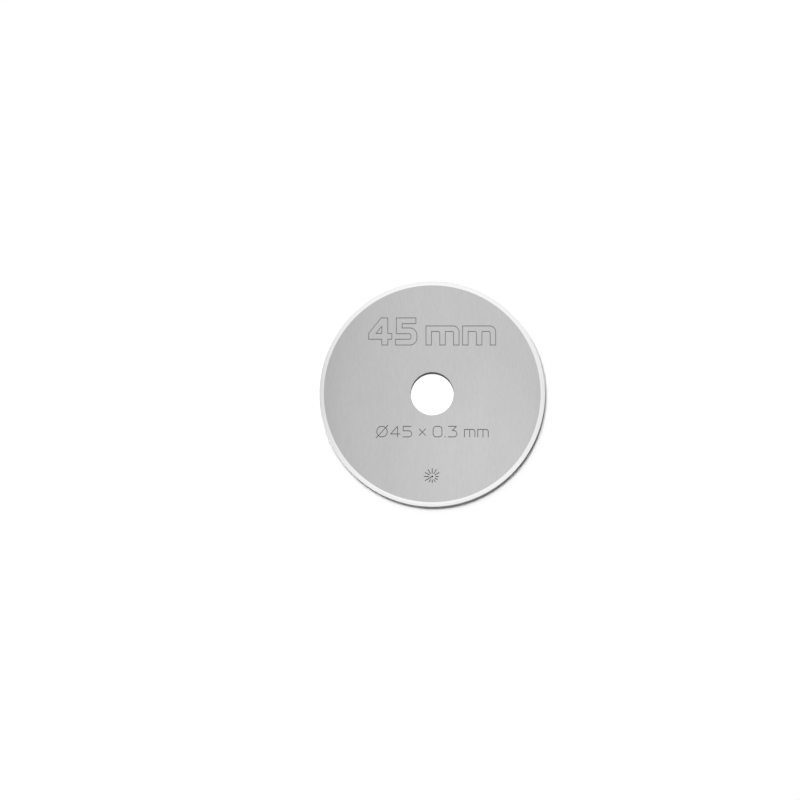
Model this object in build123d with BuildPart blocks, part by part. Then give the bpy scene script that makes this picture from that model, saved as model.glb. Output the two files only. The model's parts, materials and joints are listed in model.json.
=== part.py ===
from build123d import *
from math import radians, tan
import os

# Rotary cutter blade: one thin steel disc with a centre bore and a double-bevelled cutting edge.
#
# The disc lies flat. The origin is the bore's centre on the underside, and +Z points up through
# the bore. The cutting edge runs round the rim at mid thickness. Both faces are ground back
# towards it in two steps: a shallow grind from the flat, then a steeper honed bevel to the edge.
# The bore is pierced, and its rims are slightly rounded so that it slides onto the handle's hub.
# All sizes are in millimetres and degrees.

# Disc
blade_diameter = 45.0
blade_thickness = 0.3

# Bore that turns on the handle's hub
bore_diameter = 8.6
bore_rim_radius = 0.05

# Cutting edge, the same on both faces
grind_width = 0.4
grind_angle = 7.0
hone_width = 0.5
edge_land = 0.01

# Radii where the section changes, from the rim inwards
rim_radius = blade_diameter / 2
hone_radius = rim_radius - hone_width
flat_radius = hone_radius - grind_width
bore_radius = bore_diameter / 2

# Heights of the upper half of the section, above mid thickness
face_height = blade_thickness / 2
hone_height = face_height - grind_width * tan(radians(grind_angle))
land_height = edge_land / 2

# The section is drawn upright, from its own x axis at mid thickness: x is the radius, y the height
section_plane = Plane(origin=(0, 0, face_height), x_dir=(1, 0, 0), z_dir=(0, -1, 0))

with BuildPart() as blade:
    # Half the section, mirrored to the lower face and turned about the bore's axis
    with BuildSketch(section_plane):
        with BuildLine():
            Polyline(
                (bore_radius, 0),
                (bore_radius, face_height),
                (flat_radius, face_height),
                (hone_radius, hone_height),
                (rim_radius, land_height),
                (rim_radius, 0),
            )
            mirror(about=Plane.XZ)
        make_face()
    revolve(axis=Axis.Z)

    # Upper and lower rim of the bore
    bore_rims = blade.edges().filter_by(GeomType.CIRCLE).group_by(SortBy.RADIUS)[0]
    fillet(bore_rims, radius=bore_rim_radius)

blade.part.label = "blade"

os.makedirs("parts", exist_ok=True)
export_step(blade.part, "parts/blade.step")
print("blade volume", round(blade.part.volume, 2), "mm3")
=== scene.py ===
"""Looks of the rotary cutter blade: satin-ground faces, bright bevels and shallow etched marks.

The blade lies flat with its marks upwards, and the camera looks straight down on it. The disc is
modelled in millimetres, round the bore's axis, and then scaled to metres.
"""

import json
from math import atan2, ceil, cos, dist, pi, radians, sin, tan

import bmesh
import bpy
import numpy as np
from mathutils import Matrix, Vector
from mathutils.geometry import delaunay_2d_cdt


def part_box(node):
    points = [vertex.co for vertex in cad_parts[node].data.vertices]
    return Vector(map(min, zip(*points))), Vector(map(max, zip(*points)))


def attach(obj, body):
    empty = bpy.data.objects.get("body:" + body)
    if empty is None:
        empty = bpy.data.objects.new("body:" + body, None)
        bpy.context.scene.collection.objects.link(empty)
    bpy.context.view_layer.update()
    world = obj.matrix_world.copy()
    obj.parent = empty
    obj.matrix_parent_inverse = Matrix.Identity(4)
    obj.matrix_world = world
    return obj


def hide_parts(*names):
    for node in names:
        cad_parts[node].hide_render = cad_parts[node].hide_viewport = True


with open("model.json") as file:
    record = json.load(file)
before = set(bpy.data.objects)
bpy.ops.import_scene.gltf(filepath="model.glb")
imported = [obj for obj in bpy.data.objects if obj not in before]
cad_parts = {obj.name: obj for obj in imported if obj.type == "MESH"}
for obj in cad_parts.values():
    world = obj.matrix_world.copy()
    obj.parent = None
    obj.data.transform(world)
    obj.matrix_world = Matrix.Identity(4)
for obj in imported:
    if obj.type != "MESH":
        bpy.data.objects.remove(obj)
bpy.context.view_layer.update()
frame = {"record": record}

# One millimetre, in metres
MILLIMETRE = 0.001

# The disc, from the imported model, in millimetres
blade_low, blade_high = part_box("blade")
bore_mount = next(mount for mount in frame["record"]["mounts"] if mount["name"] == "bore")
THICKNESS = (blade_high.z - blade_low.z) / MILLIMETRE
RIM_RADIUS = blade_high.x / MILLIMETRE
BORE_RADIUS = bore_mount["dims"]["r_mm"]
BORE_RIM_RADIUS = (THICKNESS - bore_mount["dims"]["length_mm"]) / 2

# The cutting edge, the same on both faces, in millimetres and degrees
GRIND_WIDTH = 0.4
GRIND_ANGLE = 7.0
HONE_WIDTH = 0.5
EDGE_LAND = 0.01

# Steps of the mesh: all round the disc, round each rim of the bore, and along arcs in the marks
ROUND_STEPS = 360
RIM_STEPS = 6
ARC_STEP = radians(7.5)

# Points nearer to each other than this are one, in millimetres
WELD_DISTANCE = 1e-4

# Turns run from -190 to 170 degrees, so half a turn, at a line's end, is always a right turn
LARGEST_RIGHT_TURN = radians(190)

# Blender's triangulation that keeps only what lies inside the loops
INSIDE_LOOPS = 1

# Edges that bend by more than this are shaded as corners
CORNER_ANGLE = radians(2)

# Etched lines, in millimetres: their widths, and the width and depth of their sloping walls
BLOCK_LINE = 0.24
SIZE_LINE = 0.25
DIAL_LINE = 0.26
LINE_WALL = 0.065
LINE_DEPTH = 0.03

# Material slots of the disc's mesh
FACE, BEVEL, BORE, ETCH = range(4)

# The photograph's frame, and the blade's centre and radius in it, in pixels
PHOTO_SIZE = 800
PHOTO_CENTRE = (PHOTO_SIZE - 1) / 2
BLADE_PIXEL = (431.7, 393.3)
RIM_PIXELS = 112.9


def corner_path(corners, closed=False):
    """Points along a line whose corners are (x, y), or (x, y, radius) where they are rounded."""
    path = []
    last = len(corners) - 1
    for index, (x, y, *rounding) in enumerate(corners):
        at_end = not closed and index in (0, last)
        if not rounding or at_end:
            path.append((x, y))
            continue
        before = corners[index - 1]
        after = corners[(index + 1) % len(corners)]
        start = atan2(before[1] - y, before[0] - x)
        end = atan2(after[1] - y, after[0] - x)
        opening = (end - start + pi) % (2 * pi) - pi
        half = abs(opening) / 2
        middle = start + opening / 2
        centre_distance = rounding[0] / sin(half)
        centre_x = x + centre_distance * cos(middle)
        centre_y = y + centre_distance * sin(middle)
        sweep = pi - 2 * half
        steps = ceil(sweep / ARC_STEP)
        turn = 1 if opening > 0 else -1
        for step in range(steps + 1):
            angle = middle + pi + turn * sweep * (0.5 - step / steps)
            path.append((centre_x + rounding[0] * cos(angle), centre_y + rounding[0] * sin(angle)))
    return [point for index, point in enumerate(path) if dist(point, path[index - 1]) > WELD_DISTANCE]


# Single-line characters: each is its width and its strokes, in units of the capital height.
# A stroke is its corners and whether it is closed.
LINE_CHARACTERS = {
    "0": (0.84, [([(0, 0, 0.3), (0, 1, 0.3), (0.84, 1, 0.3), (0.84, 0, 0.3)], True)]),
    "3": (0.84, [
        ([(0.04, 1), (0.8, 1), (0.4, 0.6), (0.84, 0.6, 0.28), (0.84, 0, 0.28), (0, 0)], False),
    ]),
    "4": (0.9, [([(0.66, 0), (0.66, 1), (0, 0.28), (0.9, 0.28)], False)]),
    "5": (0.84, [
        ([(0.8, 1), (0.04, 1), (0.04, 0.58), (0.84, 0.58, 0.28), (0.84, 0, 0.28), (0, 0)], False),
    ]),
    "m": (1.0, [
        ([(0, 0), (0, 0.7), (1, 0.7, 0.2), (1, 0)], False),
        ([(0.5, 0.67), (0.5, 0)], False),
    ]),
    ".": (0.05, [([(0, 0), (0.05, 0)], False)]),
    "x": (0.6, [([(0, 0.15), (0.6, 0.75)], False), ([(0, 0.75), (0.6, 0.15)], False)]),
    "Ø": (1.1, [
        ([(0.05, 0, 0.5), (0.05, 1, 0.5), (1.05, 1, 0.5), (1.05, 0, 0.5)], True),
        ([(0, -0.1), (1.1, 1.1)], False),
    ]),
    " ": (0.2, []),
}

# Block characters drawn by their outlines, in millimetres: each is its width and its closed outlines
BLOCK_CHARACTERS = {
    "4": (4.6, [
        [(2.6, 0), (2.6, 1.15), (0, 1.15), (0, 2.35), (2.45, 5.4), (3.8, 5.4), (3.8, 2.3),
         (4.6, 2.3), (4.6, 1.15), (3.8, 1.15), (3.8, 0)],
        [(2.6, 2.3), (1.42, 2.3), (2.6, 3.75)],
    ]),
    "5": (4.3, [
        [(0, 0), (0, 1.15), (3.1, 1.15, 0.35), (3.1, 2.25, 0.35), (0.2, 2.25), (0.2, 5.4),
         (4.1, 5.4), (4.1, 4.25), (1.35, 4.25), (1.35, 3.4), (4.3, 3.4, 1.4), (4.3, 0, 1.4)],
    ]),
    "m": (6.6, [
        [(0, 0), (0, 3.8), (6.6, 3.8, 1.2), (6.6, 0), (5.5, 0), (5.5, 2.7, 0.3), (3.85, 2.7),
         (3.85, 0), (2.75, 0), (2.75, 2.7, 0.3), (1.1, 2.7), (1.1, 0)],
    ]),
    " ": (0.4, []),
}

# The large outlined size, in millimetres
BLOCK_TEXT = "45 mm"
BLOCK_GAP = 0.7
BLOCK_BASE = 9.7

# The small sizes, in millimetres, with their gap in units of the capital height
SIZE_TEXT = "Ø45 x 0.3 mm"
SIZE_HEIGHT = 2.1
SIZE_GAP = 0.26
SIZE_BASE = -8.6

# Production date dial, in millimetres and degrees: twelve ticks, and a hand from the centre. Its
# dot is a line that is so short that it looks round.
DIAL_Y = -16.5
DIAL_TICKS = 12
DIAL_INNER = 0.68
DIAL_OUTER = 1.6
DIAL_SHORT_OUTER = 1.22
DIAL_HAND_ANGLE = 210
DIAL_DOT = 0.46
DIAL_DOT_REACH = DIAL_DOT / 20


def placed(path, x, y, scale=1.0):
    """A path scaled and then moved."""
    return [(x + scale * px, y + scale * py) for px, py in path]


def line_of_text(text, characters, gap, scale=1.0):
    """Each character of a centred line of text, with the x of its left side."""
    width = sum(scale * characters[letter][0] for letter in text) + gap * (len(text) - 1)
    x = -width / 2
    for letter in text:
        yield letter, x
        x += scale * characters[letter][0] + gap


def block_strokes():
    """The large outlined size above the bore: each stroke's path, whether it is closed, and its width."""
    for letter, x in line_of_text(BLOCK_TEXT, BLOCK_CHARACTERS, BLOCK_GAP):
        for corners in BLOCK_CHARACTERS[letter][1]:
            yield placed(corner_path(corners, True), x, BLOCK_BASE), True, BLOCK_LINE


def size_strokes():
    """The small single-line sizes below the bore."""
    gap = SIZE_GAP * SIZE_HEIGHT
    for letter, x in line_of_text(SIZE_TEXT, LINE_CHARACTERS, gap, SIZE_HEIGHT):
        for corners, closed in LINE_CHARACTERS[letter][1]:
            yield placed(corner_path(corners, closed), x, SIZE_BASE, SIZE_HEIGHT), closed, SIZE_LINE


def spoke(degrees, inner, outer):
    """A straight line away from the origin, at an angle from the x axis."""
    across, up = cos(radians(degrees)), sin(radians(degrees))
    return [(inner * across, inner * up), (outer * across, outer * up)]


def dial_strokes():
    """The ticks of the date dial, its hand, and the dot in its middle."""
    for tick in range(DIAL_TICKS):
        degrees = tick * 360 / DIAL_TICKS
        on_hand = degrees == DIAL_HAND_ANGLE
        long_tick = 0 < degrees <= DIAL_HAND_ANGLE
        inner = 0 if on_hand else DIAL_INNER
        outer = DIAL_OUTER if long_tick else DIAL_SHORT_OUTER
        yield placed(spoke(degrees, inner, outer), 0, DIAL_Y), False, DIAL_LINE
    yield placed(spoke(0, -DIAL_DOT_REACH, DIAL_DOT_REACH), 0, DIAL_Y), False, DIAL_DOT


def parallel_loop(walk, distance):
    """The loop at a distance to the left of a closed walk, rounded outside its corners."""
    loop = []
    for index, (x, y) in enumerate(walk):
        before = walk[index - 1]
        after = walk[(index + 1) % len(walk)]
        heading_in = atan2(y - before[1], x - before[0])
        heading_out = atan2(after[1] - y, after[0] - x)
        turn = (heading_out - heading_in + LARGEST_RIGHT_TURN) % (2 * pi) - LARGEST_RIGHT_TURN
        left = heading_in + pi / 2
        if turn > -2 * ARC_STEP:
            reach = distance / cos(turn / 2)
            angles = [left + turn / 2]
        else:
            reach = distance
            steps = ceil(-turn / (2 * ARC_STEP))
            angles = [left + turn * step / steps for step in range(steps + 1)]
        loop.extend((x + reach * cos(angle), y + reach * sin(angle)) for angle in angles)
    return loop


def stroke_loops(path, closed, distance):
    """The loops that bound a stroke of a given half width."""
    if closed:
        walks = [path, path[::-1]]
    else:
        walks = [path + path[-2:0:-1]]
    return [parallel_loop(walk, distance) for walk in walks]


def circle_points(radius):
    """Points of a circle about the bore's axis."""
    angles = (2 * pi * step / ROUND_STEPS for step in range(ROUND_STEPS))
    return [(radius * cos(angle), radius * sin(angle)) for angle in angles]


def reach_inside(points, strokes):
    """How far each point lies inside the strokes' edges. It is negative outside them."""
    starts, ends, half_widths = [], [], []
    for path, closed, width in strokes:
        line = path + path[:1] if closed else path
        starts.extend(line[:-1])
        ends.extend(line[1:])
        half_widths.extend([width / 2] * (len(line) - 1))
    starts, ends, half_widths = np.array(starts), np.array(ends), np.array(half_widths)
    run = ends - starts
    run_squared = (run**2).sum(1)
    reaches = []
    for point in np.array(points):
        along = np.clip(((point - starts) * run).sum(1) / run_squared, 0, 1)
        gaps = starts + along[:, None] * run - point
        reaches.append((half_widths - np.sqrt((gaps**2).sum(1))).max())
    return reaches


def marked_face(disc, inner_radius, outer_radius, strokes):
    """The upper face, divided along the etched lines, which are sunk into it."""
    loops = [circle_points(inner_radius), circle_points(outer_radius)]
    for path, closed, width in strokes:
        for distance in (width / 2, width / 2 - LINE_WALL):
            loops.extend(stroke_loops(path, closed, distance))
    points, edges = [], []
    for loop in loops:
        first = len(points)
        count = len(loop)
        points.extend(loop)
        edges.extend((first + step, first + (step + 1) % count) for step in range(count))
    flat_points, _, triangles, *_ = delaunay_2d_cdt(points, edges, [], INSIDE_LOOPS, WELD_DISTANCE)

    vertices = []
    for (x, y), reach in zip(flat_points, reach_inside(flat_points, strokes)):
        sunk = min(max(reach / LINE_WALL, 0), 1)
        vertices.append(disc.verts.new((x, y, THICKNESS - LINE_DEPTH * sunk)))

    centres = [sum((flat_points[i] for i in triangle), Vector((0, 0))) / 3 for triangle in triangles]
    for triangle, centre, reach in zip(triangles, centres, reach_inside(centres, strokes)):
        if centre.length < inner_radius:
            continue
        face = disc.faces.new([vertices[i] for i in triangle])
        face.material_index = ETCH if reach > LINE_WALL else FACE


def section():
    """The disc's section without its upper face: (radius, height, material of the ring that follows)."""
    hone_radius = RIM_RADIUS - HONE_WIDTH
    flat_radius = hone_radius - GRIND_WIDTH
    grind_depth = GRIND_WIDTH * tan(radians(GRIND_ANGLE))
    half_land = EDGE_LAND / 2
    middle = THICKNESS / 2
    arc_centre = BORE_RADIUS + BORE_RIM_RADIUS

    rim_arc = []
    for step in range(RIM_STEPS + 1):
        angle = radians(90 * step / RIM_STEPS)
        rim_arc.append((arc_centre - BORE_RIM_RADIUS * sin(angle), BORE_RIM_RADIUS * (1 - cos(angle))))

    rings = [(radius, THICKNESS - depth, BORE) for radius, depth in rim_arc]
    rings += [(radius, height, BORE) for radius, height in reversed(rim_arc[1:])]
    return rings + [
        (arc_centre, 0, FACE),
        (flat_radius, 0, BEVEL),
        (hone_radius, grind_depth, BEVEL),
        (RIM_RADIUS, middle - half_land, BEVEL),
        (RIM_RADIUS, middle + half_land, BEVEL),
        (hone_radius, THICKNESS - grind_depth, BEVEL),
        (flat_radius, THICKNESS, FACE),
    ]


def build_disc(strokes):
    """The whole blade as one closed mesh."""
    disc = bmesh.new()
    rings = section()
    circles = []
    for radius, height, _ in rings:
        circles.append([disc.verts.new((x, y, height)) for x, y in circle_points(radius)])
    for (_, _, material), circle, following in zip(rings, circles, circles[1:]):
        for step in range(ROUND_STEPS):
            after = (step + 1) % ROUND_STEPS
            face = disc.faces.new((circle[step], circle[after], following[after], following[step]))
            face.material_index = material
    marked_face(disc, rings[0][0], rings[-1][0], strokes)
    bmesh.ops.remove_doubles(disc, verts=disc.verts, dist=WELD_DISTANCE)
    bmesh.ops.recalc_face_normals(disc, faces=disc.faces)
    return disc


def mark_sharp_edges(disc):
    """Smooth shading round the disc and round the bore's rims, with every other corner crisp."""
    for face in disc.faces:
        face.smooth = True
    for edge in disc.edges:
        one, other = edge.link_faces
        corner = one.normal.angle(other.normal) > CORNER_ANGLE
        in_bore = one.material_index == BORE and other.material_index == BORE
        changes = one.material_index != other.material_index
        edge.smooth = not (changes or (corner and not in_bore))


def add_node(tree, kind, inputs=(), **settings):
    """A node with its settings. Each input is a plain value, or another node's output to link."""
    made = tree.nodes.new(kind)
    for name, value in settings.items():
        setattr(made, name, value)
    for socket, value in dict(inputs).items():
        if isinstance(value, bpy.types.NodeSocket):
            tree.links.new(value, made.inputs[socket])
        else:
            made.inputs[socket].default_value = value
    return made


def calculate(tree, operation, first, second=0.0):
    """The result of one operation on one or two values or outputs."""
    return add_node(tree, "ShaderNodeMath", {0: first, 1: second}, operation=operation).outputs[0]


def change(tree, value, start, end, low=0.0, high=1.0, curve="LINEAR"):
    """A level that goes from start to end as a value goes from low to high."""
    ranges = {"Value": value, "From Min": low, "From Max": high, "To Min": start, "To Max": end}
    return add_node(tree, "ShaderNodeMapRange", ranges, interpolation_type=curve).outputs[0]


def scaled(tree, vector, factor):
    """A colour or a place, multiplied by a factor."""
    return add_node(
        tree, "ShaderNodeVectorMath", {0: vector, "Scale": factor}, operation="SCALE"
    ).outputs[0]


def axes_of(tree, vector):
    """The X, Y and Z of a place or a direction."""
    return add_node(tree, "ShaderNodeSeparateXYZ", {0: vector}).outputs


def object_millimetres(tree):
    """Each point's place on the blade, in millimetres."""
    place = add_node(tree, "ShaderNodeTexCoord").outputs["Object"]
    return scaled(tree, place, 1 / MILLIMETRE)


def ramp(tree, value, stops):
    """A smooth curve that follows (value, level) stops, from the first value to the last."""
    low, high = stops[0][0], stops[-1][0]
    made = add_node(tree, "ShaderNodeValToRGB", {"Fac": change(tree, value, 0.0, 1.0, low, high)})
    made.color_ramp.interpolation = "B_SPLINE"
    elements = made.color_ramp.elements
    while len(elements) < len(stops):
        elements.new(0.5)
    for element, (stop, level) in zip(elements, stops):
        element.position = (stop - low) / (high - low)
        element.color = (level, level, level, 1.0)
    return made.outputs["Color"]


def noise(tree, place, cycles, detail=3.0):
    """Noise about zero, with its own number of cycles per unit along each axis."""
    stretched = add_node(
        tree, "ShaderNodeVectorMath", {0: place, 1: cycles}, operation="MULTIPLY"
    ).outputs[0]
    raw = add_node(
        tree, "ShaderNodeTexNoise", {"Vector": stretched, "Scale": 1.0, "Detail": detail}
    ).outputs[0]
    return calculate(tree, "SUBTRACT", raw, 0.5)


def swing(tree, pattern, amount, middle=1.0):
    """A value that a pattern about zero moves to either side of its middle."""
    return calculate(tree, "ADD", calculate(tree, "MULTIPLY", pattern, amount), middle)


def new_material(name):
    """A metal material: itself, its node tree and its shader."""
    material = bpy.data.materials.new(name)
    material.use_nodes = True
    shader = material.node_tree.nodes["Principled BSDF"]
    shader.inputs["Metallic"].default_value = 1.0
    return material, material.node_tree, shader


def set_colour(tree, shader, colour, level):
    """The shader's colour, brighter or darker by a level that varies over the surface."""
    tree.links.new(scaled(tree, colour, level), shader.inputs["Base Color"])


# How far the fine patterns stand out of the steel, in millimetres
BUMP_HEIGHT = 0.002


def set_bump(tree, shader, pattern, strength):
    """The shader's relief, from a pattern."""
    distance = BUMP_HEIGHT * MILLIMETRE
    bump = add_node(tree, "ShaderNodeBump", {"Strength": strength, "Distance": distance, "Height": pattern})
    tree.links.new(bump.outputs[0], shader.inputs["Normal"])


# Painted shade on the ground face: its tone by the place across it, in millimetres, along its bottom
# and along its top, and how far up and down from the middle the one turns into the other
FACE_COLOUR = (0.703, 0.703, 0.703)
FACE_PAINTED_SHADE_BOTTOM = ((-22.0, 0.78), (-18.0, 0.83), (0.0, 1.0), (18.0, 0.98), (22.0, 0.87))
FACE_PAINTED_SHADE_TOP = ((-22.0, 0.765), (-18.0, 0.815), (-6.0, 0.915), (15.0, 0.94), (22.0, 0.875))
FACE_PAINTED_SHADE_CHANGE = 13.0

# Its patterns: the cycles per millimetre along X, Y and Z, the detail, and the share of the tone
FACE_PATTERNS = {
    "hairlines": ((34.0, 0.9, 1.0), 3.0, 0.14),
    "grain": ((9.0, 0.35, 1.0), 3.0, 0.1),
    "streaks": ((2.4, 0.8, 1.0), 3.0, 0.12),
    "clouds": ((0.16, 0.07, 1.0), 2.0, 0.08),
}

FACE_ROUGHNESS = 0.36
HAIRLINE_ROUGHNESS = 0.12
STREAK_ROUGHNESS = 0.05
HAIRLINE_BUMP = 0.3


def satin_face():
    """Ground steel with a fine straight grain along Y, and painted shade that makes it a little darker
    towards the left side.
    """
    material, tree, shader = new_material("satin_steel")
    place = object_millimetres(tree)
    axes = axes_of(tree, place)
    # Painted shade: darker towards the sides, most of all towards the left
    shade_bottom = ramp(tree, axes["X"], FACE_PAINTED_SHADE_BOTTOM)
    shade_top = ramp(tree, axes["X"], FACE_PAINTED_SHADE_TOP)
    level = change(tree, axes["Y"], shade_bottom, shade_top, -FACE_PAINTED_SHADE_CHANGE, FACE_PAINTED_SHADE_CHANGE, "SMOOTHSTEP")
    patterns = {}
    for name, (cycles, detail, share) in FACE_PATTERNS.items():
        patterns[name] = noise(tree, place, cycles, detail)
        level = calculate(tree, "MULTIPLY", level, swing(tree, patterns[name], share))
    set_colour(tree, shader, FACE_COLOUR, level)
    roughness = swing(tree, patterns["streaks"], STREAK_ROUGHNESS, FACE_ROUGHNESS)
    roughness = swing(tree, patterns["hairlines"], HAIRLINE_ROUGHNESS, roughness)
    tree.links.new(roughness, shader.inputs["Roughness"])
    set_bump(tree, shader, patterns["hairlines"], HAIRLINE_BUMP)
    return material


# The bevel's tone by radius, in millimetres: the honed facet at the edge is a little greyer than the
# ground one. Its near-white colour is polished steel with a painted highlight on it. Its lines are in
# cycles per millimetre of radius and per radian round the edge.
BEVEL_POLISH_AND_HIGHLIGHT = (0.99, 0.99, 0.99)
BEVEL_TONES = ((21.0, 1.0), (21.85, 1.0), (22.15, 0.95), (23.0, 0.95))
BEVEL_LINES = (22.0, 3.0, 1.0)
BEVEL_LINE_SHARE = 0.08
BEVEL_ROUGHNESS = 0.2
BEVEL_LINE_ROUGHNESS = 0.1
BEVEL_BUMP = 0.2


def ground_bevel():
    """Polished steel made near-white by a painted highlight, with fine grinding lines that run round the
    edge.
    """
    material, tree, shader = new_material("ground_bevel")
    axes = axes_of(tree, object_millimetres(tree))
    flat = add_node(tree, "ShaderNodeCombineXYZ", {"X": axes["X"], "Y": axes["Y"]}).outputs[0]
    radius = add_node(tree, "ShaderNodeVectorMath", {0: flat}, operation="LENGTH").outputs["Value"]
    angle = calculate(tree, "ARCTAN2", axes["Y"], axes["X"])
    round_place = add_node(tree, "ShaderNodeCombineXYZ", {"X": radius, "Y": angle}).outputs[0]
    lines = noise(tree, round_place, BEVEL_LINES)
    facets = ramp(tree, radius, BEVEL_TONES)
    level = calculate(tree, "MULTIPLY", facets, swing(tree, lines, BEVEL_LINE_SHARE))
    # Polished steel and a painted highlight: the near-white colour, a little greyer on the outer facet
    set_colour(tree, shader, BEVEL_POLISH_AND_HIGHLIGHT, level)
    roughness = swing(tree, lines, BEVEL_LINE_ROUGHNESS, BEVEL_ROUGHNESS)
    tree.links.new(roughness, shader.inputs["Roughness"])
    set_bump(tree, shader, lines, BEVEL_BUMP)
    return material


# The bore's scores, in cycles per millimetre along X, Y and Z
BORE_COLOUR = (0.45, 0.45, 0.455)
BORE_SCORES = (9.0, 9.0, 0.8)
BORE_SCORE_SHARE = 0.3
BORE_ROUGHNESS = 0.38


def pierced_bore():
    """The bore's wall, scored along the way that the punch went."""
    material, tree, shader = new_material("pierced_steel")
    scores = noise(tree, object_millimetres(tree), BORE_SCORES)
    set_colour(tree, shader, BORE_COLOUR, swing(tree, scores, BORE_SCORE_SHARE))
    shader.inputs["Roughness"].default_value = BORE_ROUGHNESS
    return material


# Tone of the etched lines by the place up the face, in millimetres: the date dial is the darkest.
# Their mottle is in cycles per millimetre.
ETCH_COLOUR = (0.18, 0.18, 0.18)
ETCH_TONES = ((-22.0, 0.25), (-15.0, 0.25), (-13.0, 0.5), (0.0, 0.5), (6.0, 1.0), (22.0, 1.0))
ETCH_MOTTLE = (14.0, 14.0, 14.0)
ETCH_MOTTLE_SHARE = 0.4
ETCH_ROUGHNESS = 0.55


def etched_line():
    """The dull floor of the etched lines."""
    material, tree, shader = new_material("etched_steel")
    place = object_millimetres(tree)
    tone = ramp(tree, axes_of(tree, place)["Y"], ETCH_TONES)
    mottle = noise(tree, place, ETCH_MOTTLE)
    level = calculate(tree, "MULTIPLY", tone, swing(tree, mottle, ETCH_MOTTLE_SHARE))
    set_colour(tree, shader, ETCH_COLOUR, level)
    shader.inputs["Roughness"].default_value = ETCH_ROUGHNESS
    return material


def make_blade():
    """The dressed blade, which stands for the plain solid."""
    strokes = [*block_strokes(), *size_strokes(), *dial_strokes()]
    disc = build_disc(strokes)
    mark_sharp_edges(disc)
    mesh = bpy.data.meshes.new("blade_disc")
    disc.to_mesh(mesh)
    disc.free()
    mesh.transform(Matrix.Scale(MILLIMETRE, 4))
    # In the order of the slots: face, bevel, bore, etched lines
    for material in (satin_face(), ground_bevel(), pierced_bore(), etched_line()):
        mesh.materials.append(material)
    piece = bpy.data.objects.new("blade_disc", mesh)
    bpy.context.scene.collection.objects.link(piece)
    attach(piece, "root")
    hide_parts("blade")


# The shadow is long and soft outside the rim, and short and crisp inside the bore. So the floor has
# two parts, which meet out of sight under the blade, and each has its own lamps. Radii are in
# millimetres.
FLOOR_COLOUR = 0.98
FLOOR_RADIUS = 3000.0
FLOOR_JOIN = 12.0

# A lamp is its elevation, its azimuth and how wide it looks, in degrees, and its share of what makes
# a white surface white. The room gives the floor the ambient share.
OUTER_LAMPS = ((13, 97, 12, 0.41), (12.2, 128, 11, 0.45), (30, 207, 22, 0.12))
BORE_LAMPS = ((36, 96, 4, 0.98),)
AMBIENT_LEVEL = 0.05


def floor_part(name, points, faces, material):
    """One part of the white floor, which isn't part of the object."""
    mesh = bpy.data.meshes.new(name)
    mesh.from_pydata([(x, y, 0) for x, y in points], [], faces)
    mesh.transform(Matrix.Scale(MILLIMETRE, 4))
    mesh.materials.append(material)
    part = bpy.data.objects.new(name, mesh)
    bpy.context.scene.collection.objects.link(part)
    return part


def make_floor():
    """A plain white floor that keeps the blade's shadow: its outer part, and the part in the bore."""
    material = bpy.data.materials.new("floor_white")
    material.use_nodes = True
    shader = material.node_tree.nodes["Principled BSDF"]
    shader.inputs["Base Color"].default_value = (FLOOR_COLOUR, FLOOR_COLOUR, FLOOR_COLOUR, 1.0)
    shader.inputs["Roughness"].default_value = 1.0
    shader.inputs["Specular IOR Level"].default_value = 0.0
    join = circle_points(FLOOR_JOIN)
    around = []
    for step in range(ROUND_STEPS):
        after = (step + 1) % ROUND_STEPS
        around.append((step, ROUND_STEPS + step, ROUND_STEPS + after, after))
    outer = floor_part("floor_outer", join + circle_points(FLOOR_RADIUS), around, material)
    inner = floor_part("floor_in_bore", join, [range(ROUND_STEPS)], material)
    return outer, inner


def add_lamps(floor, lamps):
    """The lamps that make one part of the floor just white. They light nothing else."""
    lit = bpy.data.collections.new(f"{floor.name}_lit")
    lit.objects.link(floor)
    for elevation, azimuth, width, share in lamps:
        light = bpy.data.lights.new(f"{floor.name}_lamp", "SUN")
        light.energy = pi * share / sin(radians(elevation))
        light.angle = radians(width)
        lamp = bpy.data.objects.new(light.name, light)
        lamp.rotation_euler = (radians(90 - elevation), 0, radians(azimuth + 90))
        bpy.context.scene.collection.objects.link(lamp)
        lamp.light_linking.receiver_collection = lit


# The room that the steel reflects, by the X, Y and Z of the direction. Along Y it is bright overhead
# and darker beyond the blade's bottom.
ROOM_UP = (
    (-1.0, 0.5), (-0.8, 0.35), (-0.65, 0.35), (-0.5, 1.0), (-0.2, 1.0), (0.5, 1.0), (0.7, 0.93), (1.0, 0.93),
)

# The share by which each side of it is dimmed, along X, and how far along Y the dimming reaches
DIM_ACROSS = (
    (-1.0, 0.28), (-0.25, 0.28), (-0.1, 0.02), (0.0, 0.0), (0.1, 0.01), (0.25, 0.16), (1.0, 0.16),
)
DIM_HEIGHT = 0.4

# Round the horizon the room is all one level, which turns into the rest between these two of Z
HORIZON_LEVEL = 0.75
HORIZON_TOP = (0.38, 0.58)


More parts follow.
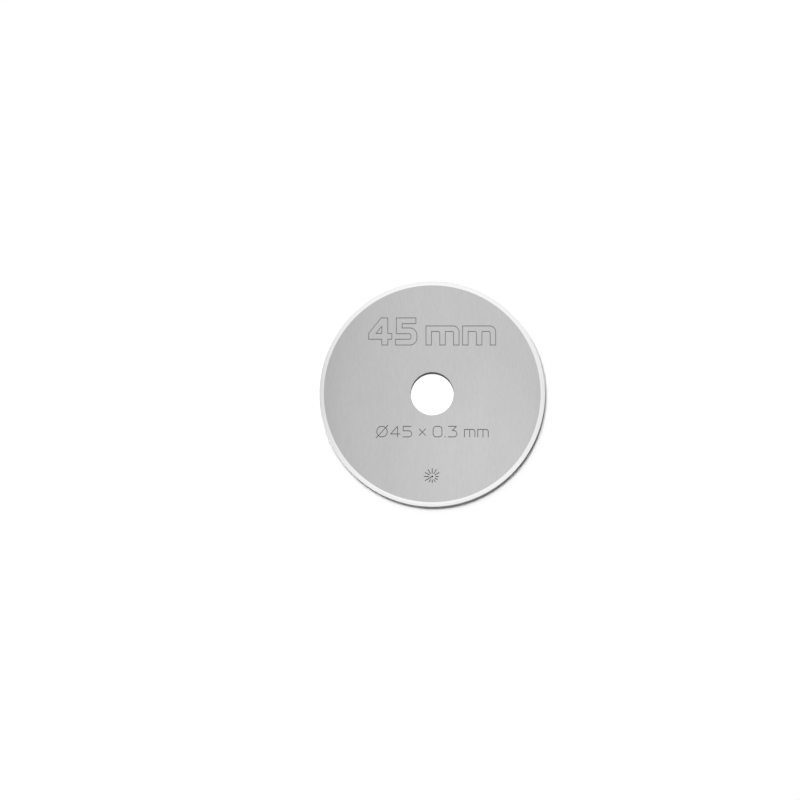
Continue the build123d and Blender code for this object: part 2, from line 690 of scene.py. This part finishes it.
def reflected_room(tree):
    """How bright the room is in each direction."""
    axes = axes_of(tree, add_node(tree, "ShaderNodeTexCoord").outputs["Generated"])
    dim_across = ramp(tree, axes["X"], DIM_ACROSS)
    from_middle = calculate(tree, "ABSOLUTE", axes["Y"])
    dim_up = change(tree, from_middle, 1.0, 0.0, 0.0, DIM_HEIGHT, "SMOOTHSTEP")
    undimmed = calculate(tree, "SUBTRACT", 1.0, calculate(tree, "MULTIPLY", dim_across, dim_up))
    overhead = calculate(tree, "MULTIPLY", ramp(tree, axes["Y"], ROOM_UP), undimmed)
    return change(tree, axes["Z"], HORIZON_LEVEL, overhead, *HORIZON_TOP, "SMOOTHSTEP")


def light_studio(outer_floor, bore_floor):
    """The floor's lamps, and a world that is white to look at, a room to steel, and dim to the floor."""
    add_lamps(outer_floor, OUTER_LAMPS)
    add_lamps(bore_floor, BORE_LAMPS)

    world = bpy.data.worlds.new("studio")
    world.use_nodes = True
    bpy.context.scene.world = world
    tree = world.node_tree
    ray = add_node(tree, "ShaderNodeLightPath").outputs
    seen = calculate(tree, "ADD", ray["Is Camera Ray"], ray["Is Transmission Ray"])
    level = change(tree, seen, AMBIENT_LEVEL, 1.0)
    strength = change(tree, ray["Is Glossy Ray"], level, reflected_room(tree))
    background = tree.nodes["Background"]
    background.inputs["Color"].default_value = (1.0, 1.0, 1.0, 1.0)
    tree.links.new(strength, background.inputs["Strength"])


# The camera's lens, its sensor and the nearest that it sees, in millimetres
LENS = 85.0
SENSOR = 36.0
NEAREST = 10.0


def add_camera():
    """A camera that looks straight down, with the blade where the photograph has it."""
    pixel = RIM_RADIUS * MILLIMETRE / RIM_PIXELS
    data = bpy.data.cameras.new("camera")
    data.lens = LENS
    data.sensor_width = SENSOR
    data.clip_start = NEAREST * MILLIMETRE
    camera = bpy.data.objects.new("camera", data)
    camera.location = (
        (PHOTO_CENTRE - BLADE_PIXEL[0]) * pixel,
        (BLADE_PIXEL[1] - PHOTO_CENTRE) * pixel,
        LENS / SENSOR * PHOTO_SIZE * pixel + THICKNESS / 2 * MILLIMETRE,
    )
    bpy.context.scene.collection.objects.link(camera)
    bpy.context.scene.camera = camera


make_blade()
light_studio(*make_floor())
add_camera()
bpy.context.scene.view_settings.view_transform = "Standard"
